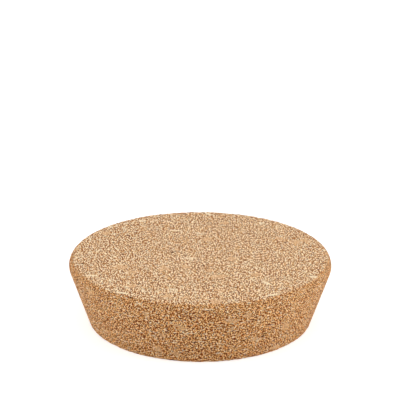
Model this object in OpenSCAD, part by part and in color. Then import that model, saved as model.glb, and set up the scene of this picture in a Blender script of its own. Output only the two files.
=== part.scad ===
// Tapered stopper of granulated cork, for the wide mouth of a jar.
//
// It is one solid block of pressed cork granules: ground to a taper that wedges in the mouth,
// rounded over at its wide shoulder, then sanded flat on top and bottom.
// The origin is the centre of the small bottom face, and +Z points up to the wide top face.

/* [Block] */
// Diameter at the widest point, on the rounded shoulder
max_d = 100; // [92:1:140]
// Diameter of the small end, where the taper would meet the bottom face at a sharp corner
bottom_d = 85.5; // [60:0.5:90]
// Thickness from the bottom face to the sanded top face
thickness = 25; // [15:1:45]

/* [Edges] */
// Radius of the rounded shoulder between the taper and the top face
shoulder_r = 3.3; // [1:0.1:5]
// Depth sanded off the top after rounding, which leaves a crease round the top face
top_sanding = 0.4; // [0.1:0.05:0.6]
// Radius that eases the bottom edge, where the stopper enters the mouth
bottom_edge_r = 0.3; // [0.1:0.1:3]

/* [Hidden] */

$fn = 180;
CORK = [0.81, 0.66, 0.50];

// The taper's line ends this far inside each rounding, so that the two join without a sliver.
join_overlap = 0.001;
// The sanding cut runs this far past the block on every side.
cut_margin = 1;

// Half section, as [distance from the axis, height].
// The shoulder rounding is tangent to the top as it was before sanding.
blank_top = thickness + top_sanding;
shoulder_c = [max_d / 2 - shoulder_r, blank_top - shoulder_r];
bottom_corner = [bottom_d / 2, 0];

// The taper leaves the bottom corner and runs up tangent to the shoulder rounding.
to_shoulder = shoulder_c - bottom_corner;
taper_from_floor = atan2(to_shoulder.y, to_shoulder.x) - asin(shoulder_r / norm(to_shoulder));
taper_dir = [cos(taper_from_floor), sin(taper_from_floor)];
taper_inward = [-taper_dir.y, taper_dir.x];
taper_length = sqrt(pow(norm(to_shoulder), 2) - pow(shoulder_r, 2));
taper_top = bottom_corner + taper_length * taper_dir + join_overlap * taper_inward;

// The bottom rounding is tangent to the bottom face and to the taper.
bottom_setback = bottom_edge_r * tan(taper_from_floor / 2);
bottom_c = bottom_corner + [-bottom_setback, bottom_edge_r];
taper_bottom = bottom_corner + bottom_setback * taper_dir + join_overlap * taper_inward;

// Straight-sided core of the section, from tangent point to tangent point
module section_core() {
    polygon([
        [0, 0],
        [bottom_c.x, 0],
        taper_bottom,
        taper_top,
        [shoulder_c.x, blank_top],
        [0, blank_top]
    ]);
}

// Section of the block as ground and rounded, before its top is sanded
module blank_section() {
    section_core();
    translate(shoulder_c)
        circle(r = shoulder_r);
    translate(bottom_c)
        circle(r = bottom_edge_r);
}

// The finished section: sanding takes all that stands above the thickness
module stopper_section() {
    difference() {
        blank_section();
        translate([-cut_margin, thickness])
            square([max_d / 2 + 2 * cut_margin, top_sanding + cut_margin]);
    }
}

module cork_stopper() {
    color(CORK)
        rotate_extrude()
            stopper_section();
}

cork_stopper();
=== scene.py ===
import math

import bpy
from mathutils import Matrix, Vector


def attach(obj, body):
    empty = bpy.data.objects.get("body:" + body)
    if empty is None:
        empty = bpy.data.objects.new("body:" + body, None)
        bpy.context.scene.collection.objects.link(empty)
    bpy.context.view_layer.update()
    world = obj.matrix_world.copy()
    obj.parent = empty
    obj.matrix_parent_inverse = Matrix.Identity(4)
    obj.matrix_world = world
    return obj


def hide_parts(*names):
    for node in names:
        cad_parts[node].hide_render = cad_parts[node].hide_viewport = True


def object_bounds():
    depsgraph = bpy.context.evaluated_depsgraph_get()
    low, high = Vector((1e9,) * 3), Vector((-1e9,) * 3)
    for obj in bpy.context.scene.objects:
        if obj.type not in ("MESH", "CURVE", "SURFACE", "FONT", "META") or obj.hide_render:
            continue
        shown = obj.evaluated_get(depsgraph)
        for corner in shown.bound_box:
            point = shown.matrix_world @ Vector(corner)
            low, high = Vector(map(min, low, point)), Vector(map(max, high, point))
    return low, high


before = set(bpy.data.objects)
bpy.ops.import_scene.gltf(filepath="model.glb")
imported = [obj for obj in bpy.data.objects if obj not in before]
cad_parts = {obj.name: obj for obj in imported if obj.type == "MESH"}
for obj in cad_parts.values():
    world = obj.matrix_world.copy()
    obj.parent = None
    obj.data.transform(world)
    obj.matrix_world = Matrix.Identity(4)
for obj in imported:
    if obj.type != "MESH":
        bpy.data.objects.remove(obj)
cad_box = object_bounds()


# The camera.
# It looks down on the stopper's front through a long lens, which keeps the round faces almost
# free of perspective. The stopper stands in the lower half of the view.
CAMERA_PITCH = math.radians(19.107)
CAMERA_ROLL = math.radians(-0.193)
CAMERA_DISTANCE = 0.552
CAMERA_AIM = Vector((-0.00017, 0, 0.04688))
SENSOR_WIDTH_MM = 36
LENS_MM = 132.1

camera = bpy.data.objects.new("camera", bpy.data.cameras.new("camera"))
bpy.context.scene.collection.objects.link(camera)
bpy.context.scene.camera = camera
camera.data.sensor_width = SENSOR_WIDTH_MM
camera.data.lens = LENS_MM
towards_camera = Vector((0, -math.cos(CAMERA_PITCH), math.sin(CAMERA_PITCH)))
camera.location = CAMERA_AIM + CAMERA_DISTANCE * towards_camera
level_turn = (-towards_camera).to_track_quat("-Z", "Y").to_matrix().to_4x4()
camera.matrix_world = (
    Matrix.Translation(camera.location) @ level_turn @ Matrix.Rotation(-CAMERA_ROLL, 4, "Z")
)


# The cork stopper, its form.
# A slab of fine cork granules, pressed with a clear binder, is turned to a taper with a rounded
# shoulder, and both faces are sanded flat. The tools cut straight through the granules, and here
# and there one tears out.

# Lengths in the stopper's sections are in millimetres, until the finished mesh is scaled.
MM = 0.001
FORM = {
    "Thickness": (cad_box[1].z - cad_box[0].z) / MM,
    "Widest radius": (cad_box[1].x - cad_box[0].x) / 2 / MM,
    "Bottom radius": 42.75,
    "Shoulder radius": 3.3,
    "Top sanding": 0.4,
    "Bottom edge radius": 0.3,
    "Seam depth": 0.06,
    "Hole depth": 0.45,
    "Crumbling": 0.15,
    "Waviness": 0.12,
    "Seed": 3.0,
}

# The mesh is two hexagons of small triangles. One is wrapped ring by ring over the top face,
# round the shoulder and down the taper, the other over the bottom face and up to meet it.
RINGS = 128
TOP_FACE_RINGS = 105
SHOULDER_RINGS = 10
BOTTOM_FACE_RINGS = 92
BOTTOM_EDGE_RINGS = 2
JOIN_SHARE = 0.72
SECTOR = math.pi / 3
MERGE_DISTANCE = 0.01


class Wire:
    """A node's output on which sums can be written: each operation adds one Math node."""

    def __init__(self, socket):
        self.socket = socket
        self.tree = socket.id_data

    def step(self, operation, *others, output=0):
        """One Math node, or a Vector Math node where a value is a vector or a colour."""
        wires = [wire for wire in (self, *others) if isinstance(wire, Wire)]
        on_vectors = any(wire.socket.type in ("VECTOR", "RGBA") for wire in wires)
        kind = "ShaderNodeVectorMath" if on_vectors else "ShaderNodeMath"
        inputs = dict(enumerate((self, *others)))
        return add_node(self.tree, kind, inputs, output, operation=operation)

    def __add__(self, other):
        return self.step("ADD", other)

    def __sub__(self, other):
        return self.step("SUBTRACT", other)

    def __rsub__(self, other):
        return (self * -1) + other

    def __mul__(self, other):
        return self.step("MULTIPLY", other)

    def __truediv__(self, other):
        return self.step("DIVIDE", other)

    def scaled(self, factor):
        """A vector times a number."""
        inputs = {0: self, "Scale": factor}
        return add_node(self.tree, "ShaderNodeVectorMath", inputs, operation="SCALE")

    def beside(self, name):
        """Another output of the same node."""
        return Wire(self.socket.node.outputs[name])

    def xyz(self):
        """The three parts of a vector."""
        split = self.tree.nodes.new("ShaderNodeSeparateXYZ")
        self.tree.links.new(self.socket, split.inputs[0])
        return [Wire(output) for output in split.outputs]

    def ramp(self, start, end, low=0.0, high=1.0, shape="LINEAR"):
        """low up to start, high from end on, and a steady or smooth change between them."""
        limits = {"Value": self, "From Min": start, "From Max": end, "To Min": low, "To Max": high}
        return add_node(self.tree, "ShaderNodeMapRange", limits, interpolation_type=shape)

    def mixed(self, other, share):
        """This value where share is 0, and the other one where it is 1."""
        return self + (other - self) * share


def add_node(tree, kind, inputs=None, output=0, **settings):
    """Adds a node, sets its options, fills or links its inputs, and returns one output."""
    added = tree.nodes.new(kind)
    for name, value in settings.items():
        setattr(added, name, value)
    for key, value in (inputs or {}).items():
        if isinstance(value, Wire):
            tree.links.new(value.socket, added.inputs[key])
        else:
            added.inputs[key].default_value = value
    return Wire(added.outputs[output])


def vector_of(tree, x, y, z):
    """A vector made of its three parts."""
    return add_node(tree, "ShaderNodeCombineXYZ", {0: x, 1: y, 2: z})


def length_of(x, y):
    """How long a line is that runs x across and y up."""
    return (x * x + y * y).step("SQRT")


def size_inputs(tree, sizes):
    """Gives a tree one named input for each size, and returns their sockets as Wires."""
    for name, value in sizes.items():
        entry = tree.interface.new_socket(name, in_out="INPUT", socket_type="NodeSocketFloat")
        entry.default_value = value
    group_in = tree.nodes.new("NodeGroupInput")
    return {name: Wire(group_in.outputs[name]) for name in sizes}


def hexagon(tree):
    """A flat hexagon of triangles, with each point's ring, from 0 at the centre, and its angle."""
    points = 2 * RINGS + 1
    grid = {"Size X": 2 * RINGS, "Size Y": 2 * RINGS, "Vertices X": points, "Vertices Y": points}
    sheet = add_node(tree, "GeometryNodeMeshGrid", grid)
    sheet = add_node(tree, "GeometryNodeTriangulate", {0: sheet}, quad_method="FIXED")
    column, row, _ = add_node(tree, "GeometryNodeInputPosition").xyz()
    outside = (column - row).step("ABSOLUTE").step("GREATER_THAN", RINGS + 0.5)
    sheet = add_node(tree, "GeometryNodeDeleteGeometry", {0: sheet, 1: outside}, domain="POINT")
    across = column - row * 0.5
    up = row * math.sin(SECTOR)
    turn = up.step("ARCTAN2", across)
    sector = (turn / SECTOR).step("FLOOR")
    off_middle = turn - (sector + 0.5) * SECTOR
    ring = length_of(across, up) * off_middle.step("COSINE") / math.cos(SECTOR / 2)
    along_side = off_middle.step("TANGENT") / (2 * math.tan(SECTOR / 2))
    return sheet, ring, (sector + 0.5 + along_side) * SECTOR


def wrapped(tree, sheet, angle, radius, height):
    """A hexagon with each of its rings at its radius and height on the block."""
    place = vector_of(tree, radius * angle.step("COSINE"), radius * angle.step("SINE"), height)
    return add_node(tree, "GeometryNodeSetPosition", {0: sheet, "Position": place})


def turned_block(tree, form):
    """The block as turned and sanded, with smooth faces. Its section is that of the solid."""
    shoulder_r = form["Shoulder radius"]
    edge_r = form["Bottom edge radius"]
    shoulder_x = form["Widest radius"] - shoulder_r
    shoulder_z = form["Thickness"] + form["Top sanding"] - shoulder_r
    run = shoulder_x - form["Bottom radius"]
    slant = length_of(run, shoulder_z)
    lean = shoulder_z.step("ARCTAN2", run) - (shoulder_r / slant).step("ARCSINE")
    crease_turn = ((shoulder_r - form["Top sanding"]) / shoulder_r).step("ARCCOSINE")
    taper_turn = math.pi - lean
    edge_x = form["Bottom radius"] - edge_r * (lean / 2).step("TANGENT")

    def on_shoulder(turn):
        x = shoulder_x + shoulder_r * turn.step("SINE")
        return x, shoulder_z + shoulder_r * turn.step("COSINE")

    def on_bottom_edge(turn):
        x = edge_x + edge_r * turn.step("SINE")
        return x, edge_r + edge_r * turn.step("COSINE")

    top_x, top_z = on_shoulder(taper_turn)
    bottom_x, bottom_z = on_bottom_edge(taper_turn)
    join_x = bottom_x.mixed(top_x, JOIN_SHARE)
    join_z = bottom_z.mixed(top_z, JOIN_SHARE)
    sheet, ring, angle = hexagon(tree)

    taper_ring = TOP_FACE_RINGS + SHOULDER_RINGS
    x, z = on_shoulder(ring.ramp(TOP_FACE_RINGS, taper_ring, crease_turn, taper_turn))
    face_share = ring.ramp(0, TOP_FACE_RINGS)
    taper_share = ring.ramp(taper_ring, RINGS)
    radius = x * face_share + (join_x - top_x) * taper_share
    upper = wrapped(tree, sheet, angle, radius, z + (join_z - top_z) * taper_share)

    taper_ring = BOTTOM_FACE_RINGS + BOTTOM_EDGE_RINGS
    x, z = on_bottom_edge(ring.ramp(BOTTOM_FACE_RINGS, taper_ring, math.pi, taper_turn))
    face_share = ring.ramp(0, BOTTOM_FACE_RINGS)
    taper_share = ring.ramp(taper_ring, RINGS)
    radius = x * face_share + (join_x - bottom_x) * taper_share
    lower = wrapped(tree, sheet, angle, radius, z + (join_z - bottom_z) * taper_share)
    lower = add_node(tree, "GeometryNodeFlipFaces", {0: lower})

    both = tree.nodes.new("GeometryNodeJoinGeometry")
    tree.links.new(lower.socket, both.inputs[0])
    tree.links.new(upper.socket, both.inputs[0])
    joined = {0: Wire(both.outputs[0]), "Distance": MERGE_DISTANCE}
    crease_x, _ = on_shoulder(crease_turn)
    return add_node(tree, "GeometryNodeMergeByDistance", joined), crease_x


# The cork stopper, its granules.
# The granules are ground from bark, with a few coarse ones among them. Pressing flattens them and
# bends them round each other. The mesh and the colours take them from the same rule, so each torn
# hole and coarse granule lies at the same place in both.
PRESSED_FLAT = 1.8
BEND_SIZE = 1.5
BEND_DEPTH = 0.5
GRANULE = 1.0
COARSE_GRANULE = 3.0
COARSE_SHARE = 0.03
SEAM_WIDTH = 0.16
HOLE_SHARE = 0.006
HOLE_SLOPE = 0.2
HEIGHT_SPREAD = 0.05
CRUMBLED_SHARE = 0.3
CRUMBLED_REACH = 0.9
WAVE_SIZE = 14.0
WAVE_FADE = (0.5, 1.0)
SEED_STEP = Vector((17.3, 41.9, 29.1))


def noise(tree, place, size, detail=2.0, output="Fac"):
    """Cloudy noise around 0.5, with lumps of about this size."""
    inputs = {"Vector": place, "Scale": 1 / size, "Detail": detail}
    return add_node(tree, "ShaderNodeTexNoise", inputs, output)


def in_the_slab(tree, place, seed):
    """A place as it was in the loose granules, before they were pressed and bent together."""
    flattened = place * (1.0, 1.0, PRESSED_FLAT) + vector_of(tree, *SEED_STEP).scaled(seed)
    bend = noise(tree, flattened, BEND_SIZE, output="Color") - (0.5, 0.5, 0.5)
    return flattened + bend.scaled(BEND_DEPTH)


def one_size(tree, place, size):
    """Granules of one size: three random numbers for each, and how deep a point lies in it."""
    inputs = {"Vector": place, "Scale": 1 / size}
    luck = add_node(tree, "ShaderNodeTexVoronoi", inputs, "Color")
    depth = add_node(tree, "ShaderNodeTexVoronoi", inputs, feature="DISTANCE_TO_EDGE")
    return luck, depth * size


def granules(tree, place):
    """Granules with a few coarse ones among them: luck, depth in the granule, and coarse or not."""
    luck, depth = one_size(tree, place, GRANULE)
    coarse_luck, coarse_depth = one_size(tree, place, COARSE_GRANULE)
    coarse = coarse_luck.xyz()[2].step("LESS_THAN", COARSE_SHARE)
    return luck.mixed(coarse_luck, coarse), depth.mixed(coarse_depth, coarse), coarse


def hole(luck, depth, deepest):
    """How deep the surface lies below the cut where a granule has torn out."""
    torn = luck.xyz()[1].step("LESS_THAN", HOLE_SHARE)
    return torn * depth.ramp(0, HOLE_SLOPE, 0, deepest, "SMOOTHSTEP")


def crumbled(place, luck, crease_x, form):
    """How much is lost where granules have broken from the crease and from the bottom edge."""
    x, y, z = place.xyz()
    radius = length_of(x, y)
    nearness = 0.0
    for edge_x, edge_z in ((crease_x, form["Thickness"]), (form["Bottom radius"], 0.0)):
        distance = length_of(radius - edge_x, z - edge_z)
        nearness = distance.ramp(0, CRUMBLED_REACH, 1, 0).step("MAXIMUM", nearness)
    return nearness * luck.xyz()[2].step("LESS_THAN", CRUMBLED_SHARE) * form["Crumbling"]


def stopper_tree():
    """The Geometry Nodes tree that turns the block and cuts its granules open."""
    tree = bpy.data.node_groups.new("turned_cork", "GeometryNodeTree")
    form = size_inputs(tree, FORM)
    tree.interface.new_socket("Geometry", in_out="OUTPUT", socket_type="NodeSocketGeometry")
    block, crease_x = turned_block(tree, form)
    place = add_node(tree, "GeometryNodeInputPosition")
    outwards = add_node(tree, "GeometryNodeInputNormal")
    luck, depth, _ = granules(tree, in_the_slab(tree, place, form["Seed"]))
    seam = depth.ramp(0, SEAM_WIDTH, form["Seam depth"], 0, "SMOOTHSTEP")
    relief = seam + hole(luck, depth, form["Hole depth"]) + luck.xyz()[0] * HEIGHT_SPREAD
    relief = relief + crumbled(place, luck, crease_x, form)
    on_side = outwards.xyz()[2].step("ABSOLUTE").ramp(*WAVE_FADE, 1, 0)
    relief = relief + noise(tree, place, WAVE_SIZE, detail=0.0) * on_side * form["Waviness"]
    cut = {0: block, "Offset": outwards.scaled(relief * -1)}
    block = add_node(tree, "GeometryNodeSetPosition", cut)
    block = add_node(tree, "GeometryNodeSetShadeSmooth", {0: block})
    block = add_node(tree, "GeometryNodeTransform", {0: block, "Scale": (MM, MM, MM)})
    block = add_node(tree, "GeometryNodeRealizeInstances", {0: block})
    block = add_node(tree, "GeometryNodeSetMaterial", {0: block, "Material": cork_material()})
    group_out = tree.nodes.new("NodeGroupOutput")
    tree.links.new(block.socket, group_out.inputs[0])
    return tree


# The cork stopper, its surface.
# Dry, matte cork, made of paler and darker crumbs from cream to red-brown. The turned side is
# golden brown, with a fine torn grain and open pits, darkened partly by darker cork and partly by
# painted shade. Sanding fills the flat faces with pale dust, and their paler, whiter colour is
# partly that dust and partly a painted sheen.

# How each finish looks: its tones from the darkest fibres to the palest, then the size and the
# strength of each thing that moves the tone along them.
TURNED = {
    "tones": (
        (0.00, (0.12, 0.012, 0.001)),
        (0.25, (0.42, 0.080, 0.004)),
        (0.50, (0.76, 0.219, 0.021)),
        (0.75, (1.00, 0.385, 0.070)),
        (1.00, (1.00, 0.675, 0.310)),
    ),
    "level": 0.57,
    "crumbs": 0.6,
    "grain_size": 0.42,
    "grain": 5.2,
    "line_size": 0.55,
    "lines": 0.4,
    "pit_size": 0.55,
    # The turned side's pits carry strong painted shade, the sanded faces' pits only a little.
    "pit_shade": 2.2,
}
# The sanded faces' tones are paler and whiter than the turned side's: partly sanding dust, partly a
# painted sheen.
SANDED_DUST_AND_SHEEN = {
    "tones": (
        (0.00, (0.20, 0.040, 0.004)),
        (0.25, (0.45, 0.170, 0.034)),
        (0.50, (0.71, 0.350, 0.105)),
        (0.75, (0.94, 0.540, 0.220)),
        (1.00, (1.00, 0.828, 0.565)),
    ),
    "level": 0.455,
    "crumbs": 0.7,
    "grain_size": 0.46,
    "grain": 4.4,
    "line_size": 0.6,
    "lines": 0.3,
    "pit_size": 0.6,
    "pit_shade": 0.4,
}

# The size of a crumb, the width of a pale line and the waves' heights between which a pit opens.
# Each layer of waves is turned against the last, so that their lattices never line up.
CRUMB = 0.3
LINE_WIDTH = 0.06
PIT_DEPTHS = (0.28, 0.40)
LAYER_TURN = 0.9

# The pale dust and the painted sheen lie on what the sanding reached, down to the crease and the
# bottom edge.
DUST_AND_SHEEN_DEPTH = 0.17
DUST_AND_SHEEN_FADE = 0.05

# The grain is laid out flat along each cut and swirled a little. On the side it climbs the taper
# and the shoulder at an even width, and on the faces it is drawn out along the sanding.
SWIRL_SIZE = 1.5
SWIRL = 0.3
UP_SHARE = 1.34
ALONG_SANDING = 0.55

# Dark pores and pale flecks: the size, where they start and are full, and the colour.
SPOTS = (
    (0.7, (0.26, 0.19), (0.08, 0.010, 0.001)),
    (0.7, (0.74, 0.81), (1.0, 0.86, 0.61)),
)

# Thin chips of paler bark lie flat in the slab: the room that each one has, and its half sizes.
CHIPS = (
    (2.2, (1.1, 0.5, 0.36)),
    (6.0, (3.2, 1.0, 0.42)),
)
CHIP_SHARE = 0.8
CHIP_CORE = 0.5
CHIP_COLOUR = (1.0, 0.84, 0.58)
CHIP_COVER = 0.8

# Coarse granules are paler and plainer, and a torn hole is painted dark up to its rim with painted
# shade.
COARSE_COLOUR = (0.76, 0.46, 0.235)
COARSE_COVER = 0.6
HOLE_SHADE_COLOUR = (0.07, 0.014, 0.004)
HOLE_RIM = 0.1

DARK_ROUGHNESS = 0.85
PALE_ROUGHNESS = 0.65
GLOSS = 0.15
FIBRE_HEIGHT = 0.06


def covered(tree, colour, over, share):
    """The first colour with another laid over it, where the share is 1."""
    if not isinstance(over, Wire):
        over = (*over, 1.0)
    # Of a Mix node's sockets, the two colours are inputs 6 and 7, and their mix is output 2.
    inputs = {0: share, 6: colour, 7: over}
    return add_node(tree, "ShaderNodeMix", inputs, 2, data_type="RGBA")


def tone_ramp(tree, value, tones):
    """The colour for each value, run evenly through the tones."""
    added = tree.nodes.new("ShaderNodeValToRGB")
    tree.links.new(value.socket, added.inputs[0])
    stops = added.color_ramp.elements
    while len(stops) < len(tones):
        stops.new(1.0)
    for stop, (position, colour) in zip(stops, tones):
        stop.position = position
        stop.color = (*colour, 1.0)
    return Wire(added.outputs[0])


def chips(tree, place, room, size):
    """1 in a thin chip of bark that lies flat in the slab, and 0 outside the chips."""
    luck = add_node(tree, "ShaderNodeTexVoronoi", {"Vector": place, "Scale": 1 / room}, "Color")
    turn, chosen, _ = luck.xyz()
    inputs = {"Vector": place - luck.beside("Position"), "Angle": turn * math.tau}
    across = add_node(tree, "ShaderNodeVectorRotate", inputs, rotation_type="Z_AXIS")
    reach = (across / size).step("LENGTH", output=1)
    return reach.ramp(CHIP_CORE, 1, 1, 0) * chosen.step("LESS_THAN", CHIP_SHARE)


def cut_layer(tree, cut, number, size):
    """Fine waves on a cut surface, from 0 to 1, a different set for each number."""
    inputs = {"Vector": vector_of(tree, *cut, 0.0), "Angle": LAYER_TURN * (number + 1)}
    turned = add_node(tree, "ShaderNodeVectorRotate", inputs, rotation_type="Z_AXIS")
    inputs = {"Vector": turned + SEED_STEP * number, "Scale": 1 / size, "Detail": 0.0}
    return add_node(tree, "ShaderNodeTexNoise", inputs, noise_dimensions="2D")


def cut_tone(tree, cut, crumbs, finish):
    """How pale the fibres are on a cut, from 0 to 1: crumbs, grain, thin pale lines, and pits
    darkened by darker cork and painted shade.
    """
    grain = cut_layer(tree, cut, 0, finish["grain_size"]) - 0.5
    line = cut_layer(tree, cut, 1, finish["line_size"]) - 0.5
    line = line.step("ABSOLUTE").ramp(0, LINE_WIDTH, 1, 0)
    pit = cut_layer(tree, cut, 2, finish["pit_size"]).ramp(*PIT_DEPTHS, 1, 0)
    tone = crumbs * finish["crumbs"] + grain * finish["grain"] + line * finish["lines"]
    # Pits lower the tone: partly darker cork, partly painted shade in the pits.
    return tone - pit * finish["pit_shade"] + finish["level"]


def cork_material():
    """The stopper's one material, with its colour, roughness and bump from the same tone."""
    material = bpy.data.materials.new("pressed_cork")
    material.use_nodes = True
    tree = material.node_tree
    shader = tree.nodes["Principled BSDF"]
    place = add_node(tree, "ShaderNodeTexCoord", output="Object").scaled(1 / MM)
    slab_place = in_the_slab(tree, place, FORM["Seed"])
    luck, depth, coarse = granules(tree, slab_place)
    crumb_luck, _ = one_size(tree, slab_place, CRUMB)
    crumbs = crumb_luck.xyz()[0] - 0.5

    middle = FORM["Thickness"] / 2
    dust_and_sheen_end = middle - DUST_AND_SHEEN_DEPTH
    off_middle = (place.xyz()[2] - middle).step("ABSOLUTE")
    sanded_dust_and_sheen = off_middle.ramp(dust_and_sheen_end - DUST_AND_SHEEN_FADE, dust_and_sheen_end + DUST_AND_SHEEN_FADE)

    swirl = noise(tree, place, SWIRL_SIZE, output="Color").scaled(SWIRL)
    x, y, z = (place + swirl).xyz()
    side_cut = (
        x.step("ARCTAN2", y * -1) * FORM["Bottom radius"],
        z * UP_SHARE - length_of(x, y),
    )
    face_cut = (x, y * ALONG_SANDING)
    tone = cut_tone(tree, side_cut, crumbs, TURNED)
    # On the sanded faces the tone and colour turn paler and whiter: sanding dust and a painted
    # sheen.
    tone = tone.mixed(cut_tone(tree, face_cut, crumbs, SANDED_DUST_AND_SHEEN), sanded_dust_and_sheen)
    dust_and_sheen_colour = tone_ramp(tree, tone, SANDED_DUST_AND_SHEEN["tones"])
    colour = covered(tree, tone_ramp(tree, tone, TURNED["tones"]), dust_and_sheen_colour, sanded_dust_and_sheen)

    cut = [side.mixed(face, sanded_dust_and_sheen) for side, face in zip(side_cut, face_cut)]
    for number, (size, limits, spot_colour) in enumerate(SPOTS, start=3):
        spot = cut_layer(tree, cut, number, size).ramp(*limits)
        colour = covered(tree, colour, spot_colour, spot)
    colour = covered(tree, colour, COARSE_COLOUR, coarse * COARSE_COVER)
    for room, size in CHIPS:
        chip = chips(tree, slab_place, room, size)
        colour = covered(tree, colour, CHIP_COLOUR, chip * CHIP_COVER)
    # Painted shade fills each torn hole up to its rim.
    torn = luck.xyz()[1].step("LESS_THAN", HOLE_SHARE) * depth.ramp(0, HOLE_RIM)
    colour = covered(tree, colour, HOLE_SHADE_COLOUR, torn)

    tree.links.new(colour.socket, shader.inputs["Base Color"])
    roughness = tone.ramp(0, 1, DARK_ROUGHNESS, PALE_ROUGHNESS)
    tree.links.new(roughness.socket, shader.inputs["Roughness"])
    shader.inputs["Specular IOR Level"].default_value = GLOSS
    bump = {"Height": tone * FIBRE_HEIGHT, "Distance": MM, "Strength": 1.0}
    normal = add_node(tree, "ShaderNodeBump", bump)
    tree.links.new(normal.socket, shader.inputs["Normal"])
    return material


blank = bpy.data.objects.new("turning_blank", bpy.data.meshes.new("turning_blank"))
bpy.context.scene.collection.objects.link(blank)
modifier = blank.modifiers.new("turned_cork", "NODES")
modifier.node_group = stopper_tree()
for entry in modifier.node_group.interface.items_tree:
    if entry.in_out == "INPUT":
        modifier[entry.identifier] = FORM[entry.name]
turned = blank.evaluated_get(bpy.context.evaluated_depsgraph_get())
stopper = bpy.data.objects.new("stopper", bpy.data.meshes.new_from_object(turned))
bpy.context.scene.collection.objects.link(stopper)
bpy.data.objects.remove(blank)
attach(stopper, "root")
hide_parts("cork_stopper")


# The floor.
# A wide sheet of matte white paper. The camera sees it lit to white, with the stopper's shadow.
FLOOR_SIZE = 6
FLOOR_COLOUR = (0.8, 0.8, 0.8, 1)
FLOOR_ROUGHNESS = 0.9
FLOOR_LIFT = 0.5
WHITE = (1, 1, 1, 1)

floor_mesh = bpy.data.meshes.new("floor")
half = FLOOR_SIZE / 2
corners = [(-half, -half, 0), (half, -half, 0), (half, half, 0), (-half, half, 0)]
floor_mesh.from_pydata(corners, [], [(0, 1, 2, 3)])
floor = bpy.data.objects.new("floor", floor_mesh)
bpy.context.scene.collection.objects.link(floor)


def seen_directly(tree):
    """1 for what the camera sees itself, in a mirror or through glass, and 0 for other light."""
    path = tree.nodes.new("ShaderNodeLightPath")
    kinds = ("Is Camera Ray", "Is Glossy Ray", "Is Transmission Ray")
    rays = [Wire(path.outputs[kind]) for kind in kinds]
    return rays[0].step("MAXIMUM", rays[1].step("MAXIMUM", rays[2]))


def paper_material():
    """White paper that gives off a little light, for the camera's rays and mirrored ones alone."""
    material = bpy.data.materials.new("white_paper")
    material.use_nodes = True
    tree = material.node_tree
    shader = tree.nodes["Principled BSDF"]
    shader.inputs["Base Color"].default_value = FLOOR_COLOUR
    shader.inputs["Roughness"].default_value = FLOOR_ROUGHNESS
    shader.inputs["Specular IOR Level"].default_value = 0.0
    shader.inputs["Emission Color"].default_value = WHITE
    lift = seen_directly(tree) * FLOOR_LIFT
    tree.links.new(lift.socket, shader.inputs["Emission Strength"])
    return material


floor_mesh.materials.append(paper_material())


# The light.
# A bright studio: a white surround, a strong soft box on each side, and two weak ones, above and
# in front. The surround shows as white, and lights the stopper at its ambient strength.
AMBIENT = 0.7

world = bpy.data.worlds.new("studio")
bpy.context.scene.world = world
world.use_nodes = True
surround = world.node_tree.nodes["Background"]
surround.inputs["Color"].default_value = WHITE
direct = seen_directly(world.node_tree)
strength = direct * (1 - AMBIENT) + AMBIENT
world.node_tree.links.new(strength.socket, surround.inputs["Strength"])


def soft_box(name, place, size, power):
    """A square lamp of this size and power, in metres and watts, turned towards the stopper."""
    lamp = bpy.data.lights.new(name, "AREA")
    lamp.energy = power
    lamp.size = size
    box = bpy.data.objects.new(name, lamp)
    bpy.context.scene.collection.objects.link(box)
    box.location = place
    box.rotation_mode = "QUATERNION"
    box.rotation_quaternion = (-Vector(place)).to_track_quat("-Z", "Y")


soft_box("overhead", place=(0.0, 0.45, 1.0), size=0.9, power=0.6)
soft_box("left_wall", place=(-1.1, -0.1, 0.5), size=0.8, power=5.6)
soft_box("right_wall", place=(1.1, -0.1, 0.4), size=0.8, power=7.2)
soft_box("front", place=(0.0, -1.1, 0.55), size=0.9, power=1.2)

bpy.context.scene.view_settings.view_transform = "Standard"
